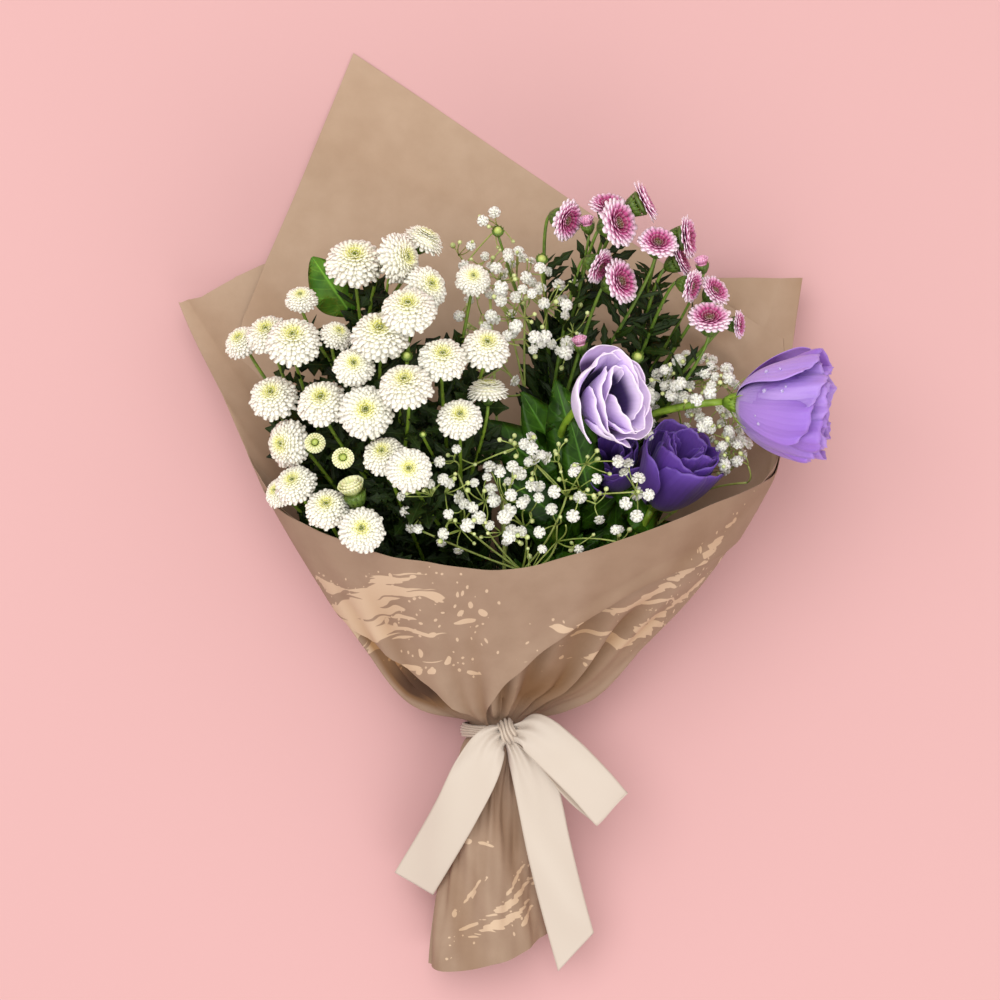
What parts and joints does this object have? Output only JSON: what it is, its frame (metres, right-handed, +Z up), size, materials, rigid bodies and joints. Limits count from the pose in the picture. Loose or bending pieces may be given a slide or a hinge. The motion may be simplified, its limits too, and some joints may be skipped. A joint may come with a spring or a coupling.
{
  "type": "mixed flower bouquet",
  "caption": "Mixed cut-flower bouquet in a cone-shaped paper wrap tied with a satin ribbon, lying on its back, with chrysanthemums, lisianthus and baby's breath.",
  "frame": {"origin": "middle of the bounding box at the surface that the bouquet lies on", "axes": "+Y from the cut stems to the flower heads along the bouquet, +Z up from the surface it lies on to the front of the bouquet, +X to the right seen from above"},
  "size_m": [0.359, 0.5174, 0.1667],
  "materials": {
    "wrapping_paper": "matt, slightly creased, with a lighter splashed print",
    "ribbon_satin": "soft satin sheen",
    "twine": "matt natural fibre",
    "white_petals": "soft petal",
    "pink_petals": "soft petal",
    "lilac_petals": "soft petal",
    "violet_petals": "soft petal",
    "green_stems": "smooth plant stem and lobed leaf",
    "dark_leaves": "waxy leaf",
    "breath_florets": "tiny papery florets on thin stalks"
  },
  "bodies": {
    "root": {"wrap_back_sheet": "wrapping_paper", "wrap_front_sheet": "wrapping_paper", "ribbon": "ribbon_satin", "stem_tie": "twine", "babys_breath_middle": "breath_florets", "babys_breath_side": "breath_florets", "bloom_lilac_front": "lilac_petals", "bloom_lilac_side": "lilac_petals", "bloom_violet_left": "violet_petals", "bloom_violet_right": "violet_petals", "lisianthus_stem_back": "dark_leaves", "lisianthus_stem_front": "dark_leaves", "pink_head_crown_1": "pink_petals", "pink_head_crown_2": "pink_petals", "pink_head_crown_3": "pink_petals", "pink_head_crown_4": "pink_petals", "pink_head_crown_5": "pink_petals", "pink_head_crown_6": "pink_petals", "pink_head_crown_7": "pink_petals", "pink_head_side_1": "pink_petals", "pink_head_side_2": "pink_petals", "pink_head_side_3": "pink_petals", "pink_head_side_4": "pink_petals", "pink_head_side_5": "pink_petals", "pink_head_side_6": "pink_petals", "pink_spray_crown": "green_stems", "pink_spray_side": "green_stems", "white_head_left_1": "white_petals", "white_head_left_2": "white_petals", "white_head_left_3": "white_petals", "white_head_left_4": "white_petals", "white_head_left_5": "white_petals", "white_head_low_1": "white_petals", "white_head_low_2": "white_petals", "white_head_low_3": "white_petals", "white_head_low_4": "white_petals", "white_head_middle_1": "white_petals", "white_head_middle_2": "white_petals", "white_head_middle_3": "white_petals", "white_head_middle_4": "white_petals", "white_head_middle_5": "white_petals", "white_head_middle_6": "white_petals", "white_head_right_1": "white_petals", "white_head_right_2": "white_petals", "white_head_right_3": "white_petals", "white_head_right_4": "white_petals", "white_head_right_5": "white_petals", "white_head_right_6": "white_petals", "white_head_top_1": "white_petals", "white_head_top_2": "white_petals", "white_head_top_3": "white_petals", "white_head_top_4": "white_petals", "white_head_top_5": "white_petals", "white_head_top_6": "white_petals", "white_head_top_7": "white_petals", "white_spray_left": "green_stems", "white_spray_low": "green_stems", "white_spray_middle": "green_stems", "white_spray_right": "green_stems", "white_spray_top": "green_stems"}
  },
  "joints": []
}
